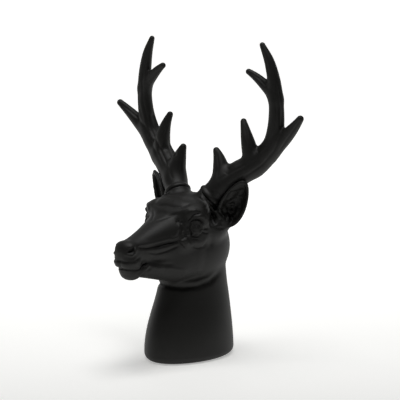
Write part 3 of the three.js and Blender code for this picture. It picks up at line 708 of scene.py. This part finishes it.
def carve_antler(vertices, cuts, side):
    """The same for an antler. The vertices are the left antler's, and side -1 carves them for the right."""
    out = outward_normals(antler, vertices)
    turned = vec(side, 1, 1)
    x, y, _ = on_sheet(vertices * turned)
    depth = sum(cut(x, y) for cut in cuts) * ramp(ASKEW, SQUARELY, (out * turned) @ TOWARDS)
    return (vertices - out * depth[:, None]) * turned


def axis(start, *spans):
    """Grid places along one axis, from its start through spans of an end and the step that leads there."""
    places = [start]
    for end, step in spans:
        count = max(1, round((end - places[-1]) / step))
        places.extend(np.linspace(places[-1], end, count + 1)[1:])
    return np.array(places)


def mesh_object(name, vertices, faces):
    """A smooth-shaded piece of four-sided faces, from vertices in millimetres."""
    mesh = bpy.data.meshes.new(name)
    mesh.vertices.add(len(vertices))
    mesh.vertices.foreach_set("co", (vertices * MM).astype(np.float32).ravel())
    mesh.loops.add(faces.size)
    mesh.loops.foreach_set("vertex_index", faces.astype(np.int32).ravel())
    mesh.polygons.add(len(faces))
    mesh.polygons.foreach_set("loop_start", (np.arange(len(faces)) * 4).astype(np.int32))
    mesh.update(calc_edges=True)
    mesh.validate()
    mesh.polygons.foreach_set("use_smooth", np.ones(len(mesh.polygons), bool))
    piece = bpy.data.objects.new(name, mesh)
    bpy.context.scene.collection.objects.link(piece)
    return piece


def make_bust():
    half = axis(0.5, (18, 1.05), (40, EYE_STEP), (70, 1.35))
    across = np.concatenate([-half[::-1], half])
    along = axis(-112, (-86, 0.9), (-44, 1.0), (-10, EYE_STEP), (26, 1.1), (62, 2.0))
    up = axis(
        -1.6, (8, 0.95), (NECK_TOP_LEVEL, NECK_LEVEL_STEP), (100, 1.5), (118, 1.0), (160, EYE_STEP),
        (196, 1.0))
    axes = (across, along, up)
    vertices, faces = net(join_pinches(grid_values(bust, axes)), axes)
    vertices = carve_face(settle(vertices, bust, HEAD_STEP))
    vertices[:, 2] = np.maximum(vertices[:, 2], 0)
    return mesh_object("bust_casting", vertices, faces)


ANTLER_BOX = ((0, 130), (-12, 56), (154, 334))


def make_antlers():
    axes = [np.arange(low, high, ANTLER_STEP) for low, high in ANTLER_BOX]
    vertices, faces = net(join_pinches(grid_values(antler, axes)), axes)
    vertices = settle(vertices, antler, ANTLER_STEP)
    left = mesh_object("left_antler_casting", carve_antler(vertices, left_antler_cuts, 1), faces)
    right = mesh_object(
        "right_antler_casting", carve_antler(vertices, right_antler_cuts, -1), faces[:, ::-1])
    return left, right


# Finish
def linear(code):
    """An sRGB hex value as linear red, green, blue and alpha."""
    parts = [int(code[i:i + 2], 16) / 255 for i in (1, 3, 5)]
    return tuple(c / 12.92 if c <= 0.04045 else ((c + 0.055) / 1.055) ** 2.4 for c in parts) + (1.0,)


def add_node(tree, kind, settings=(), links=()):
    """Adds a node, sets its inputs or settings by name, and links (output, input) pairs into it."""
    node = tree.nodes.new(kind)
    for key, value in dict(settings).items():
        if key in node.inputs:
            node.inputs[key].default_value = value
        else:
            setattr(node, key, value)
    for output, key in links:
        tree.links.new(output, node.inputs[key])
    return node


# The coat's fine orange peel is drawn as coarse as it needs to be to show at all.
PEEL_WIDTH = 1.11
PEEL_HEIGHT = 0.15


def black_resin():
    """Cast polyresin under a sprayed matt black coat: near-black, soft wide highlights, faint grain."""
    material = bpy.data.materials.new("Cast polyresin, sprayed matt black")
    material.use_nodes = True
    tree = material.node_tree
    tree.nodes.clear()
    place = add_node(tree, "ShaderNodeTexCoord")
    peel = add_node(
        tree, "ShaderNodeTexNoise", {"Scale": 1 / (PEEL_WIDTH * MM), "Detail": 3.0},
        [(place.outputs["Object"], "Vector")])
    bump = add_node(
        tree, "ShaderNodeBump", {"Strength": 0.12, "Distance": PEEL_HEIGHT * MM},
        [(peel.outputs["Fac"], "Height")])
    coat = add_node(
        tree, "ShaderNodeBsdfPrincipled", {"Base Color": linear("#0a0906"), "Roughness": 0.6, "IOR": 1.45},
        [(bump.outputs["Normal"], "Normal")])
    add_node(tree, "ShaderNodeOutputMaterial", (), [(coat.outputs["BSDF"], "Surface")])
    return material


resin = black_resin()
bust_piece = make_bust()
left_piece, right_piece = make_antlers()
for piece, node, slot in (
    (bust_piece, "head_and_neck", "bust_resin"),
    (left_piece, "left_antler", "antler_resin"),
    (right_piece, "right_antler", "antler_resin"),
):
    piece.data.materials.append(resin)
    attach(piece, "root")
    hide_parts(node)


# Studio
CAMERA_AZIMUTH = math.radians(39)
CAMERA_ELEVATION = math.radians(9.5)
CAMERA_DISTANCE = 1.8
CAMERA_AIM = Vector((0.00984, 0.00797, 0.164394))
CAMERA_LENS = 155.88
AWAY = Vector((-math.sin(CAMERA_AZIMUTH), math.cos(CAMERA_AZIMUTH), 0))
FLOOR_REACH = 9.0
FLOOR_DROP = 0.0002
WALL_BRIGHT = 1.15
ROOM_DIM = 0.04
LAMP_SIZE = 0.7
LAMP_AIM = Vector((0, -0.03, 0.15))


def fade(tree, place, direction, start, end):
    """A value that runs between two (place along a direction, value) pairs."""
    along = add_node(tree, "ShaderNodeVectorMath", {"operation": "DOT_PRODUCT"}, [(place, 0)])
    along.inputs[1].default_value = direction
    settings = {"From Min": start[0], "From Max": end[0], "To Min": start[1], "To Max": end[1]}
    share = add_node(tree, "ShaderNodeMapRange", settings, [(along.outputs["Value"], "Value")])
    return share.outputs["Result"]


def opal_acrylic():
    """Cast opal acrylic, lit from below: even white, glowing more towards the back, where the lamps fade."""
    material = bpy.data.materials.new("Opal acrylic, lit from below")
    material.use_nodes = True
    tree = material.node_tree
    sheet = tree.nodes["Principled BSDF"]
    sheet.inputs["Base Color"].default_value = linear("#f2f2f0")
    sheet.inputs["Roughness"].default_value = 0.7
    sheet.inputs["Emission Color"].default_value = linear("#f2f2f0")
    place = add_node(tree, "ShaderNodeTexCoord").outputs["Object"]
    tree.links.new(fade(tree, place, AWAY, (-0.6, 0.06), (0.9, 1.05)), sheet.inputs["Emission Strength"])
    return material


def make_floor():
    """A white light table that stands square to the camera."""
    side = Vector((math.cos(CAMERA_AZIMUTH), math.sin(CAMERA_AZIMUTH), 0))
    corners = [(AWAY * depth + side * across) * FLOOR_REACH for depth, across in (
        (-1, -1), (-1, 1), (1, 1), (1, -1))]
    mesh = bpy.data.meshes.new("pale_floor")
    mesh.from_pydata(corners, [], [(0, 1, 2, 3)])
    floor = bpy.data.objects.new("pale_floor", mesh)
    floor.location.z = -FLOOR_DROP
    bpy.context.scene.collection.objects.link(floor)
    mesh.materials.append(opal_acrylic())


def add_soft_box(name, place, power):
    data = bpy.data.lights.new(name, "AREA")
    data.shape = "SQUARE"
    data.size = LAMP_SIZE
    data.energy = power
    lamp = bpy.data.objects.new(name, data)
    lamp.location = place
    lamp.rotation_euler = (LAMP_AIM - Vector(place)).to_track_quat("-Z", "Y").to_euler()
    bpy.context.scene.collection.objects.link(lamp)


def set_world():
    """A low white wall behind the stag, and a dim room in front of it and overhead."""
    world = bpy.data.worlds.new("White studio wall, dim room")
    bpy.context.scene.world = world
    world.use_nodes = True
    tree = world.node_tree
    place = add_node(tree, "ShaderNodeTexCoord").outputs["Generated"]
    behind = fade(tree, place, AWAY, (0.3, ROOM_DIM), (0.7, WALL_BRIGHT))
    below_top = fade(tree, place, (0, 0, 1), (0.3, 1.0), (0.6, ROOM_DIM))
    both = add_node(tree, "ShaderNodeMath", {"operation": "MULTIPLY"}, [(behind, 0), (below_top, 1)])
    background = tree.nodes["Background"]
    background.inputs["Color"].default_value = linear("#ffffff")
    tree.links.new(both.outputs["Value"], background.inputs["Strength"])


def make_camera():
    data = bpy.data.cameras.new("Camera")
    data.sensor_width = 36
    data.lens = CAMERA_LENS
    back = Vector((
        math.sin(CAMERA_AZIMUTH) * math.cos(CAMERA_ELEVATION),
        -math.cos(CAMERA_AZIMUTH) * math.cos(CAMERA_ELEVATION),
        math.sin(CAMERA_ELEVATION),
    ))
    camera = bpy.data.objects.new("Camera", data)
    camera.location = CAMERA_AIM + back * CAMERA_DISTANCE
    camera.rotation_euler = back.to_track_quat("Z", "Y").to_euler()
    bpy.context.scene.collection.objects.link(camera)
    bpy.context.scene.camera = camera


make_floor()
set_world()
add_soft_box("Soft box overhead", (0.12, -0.1, 1.5), 12)
add_soft_box("Soft box in front, high", (-0.7, -1.3, 1.6), 1.5)
bpy.context.scene.view_settings.view_transform = "Standard"
make_camera()
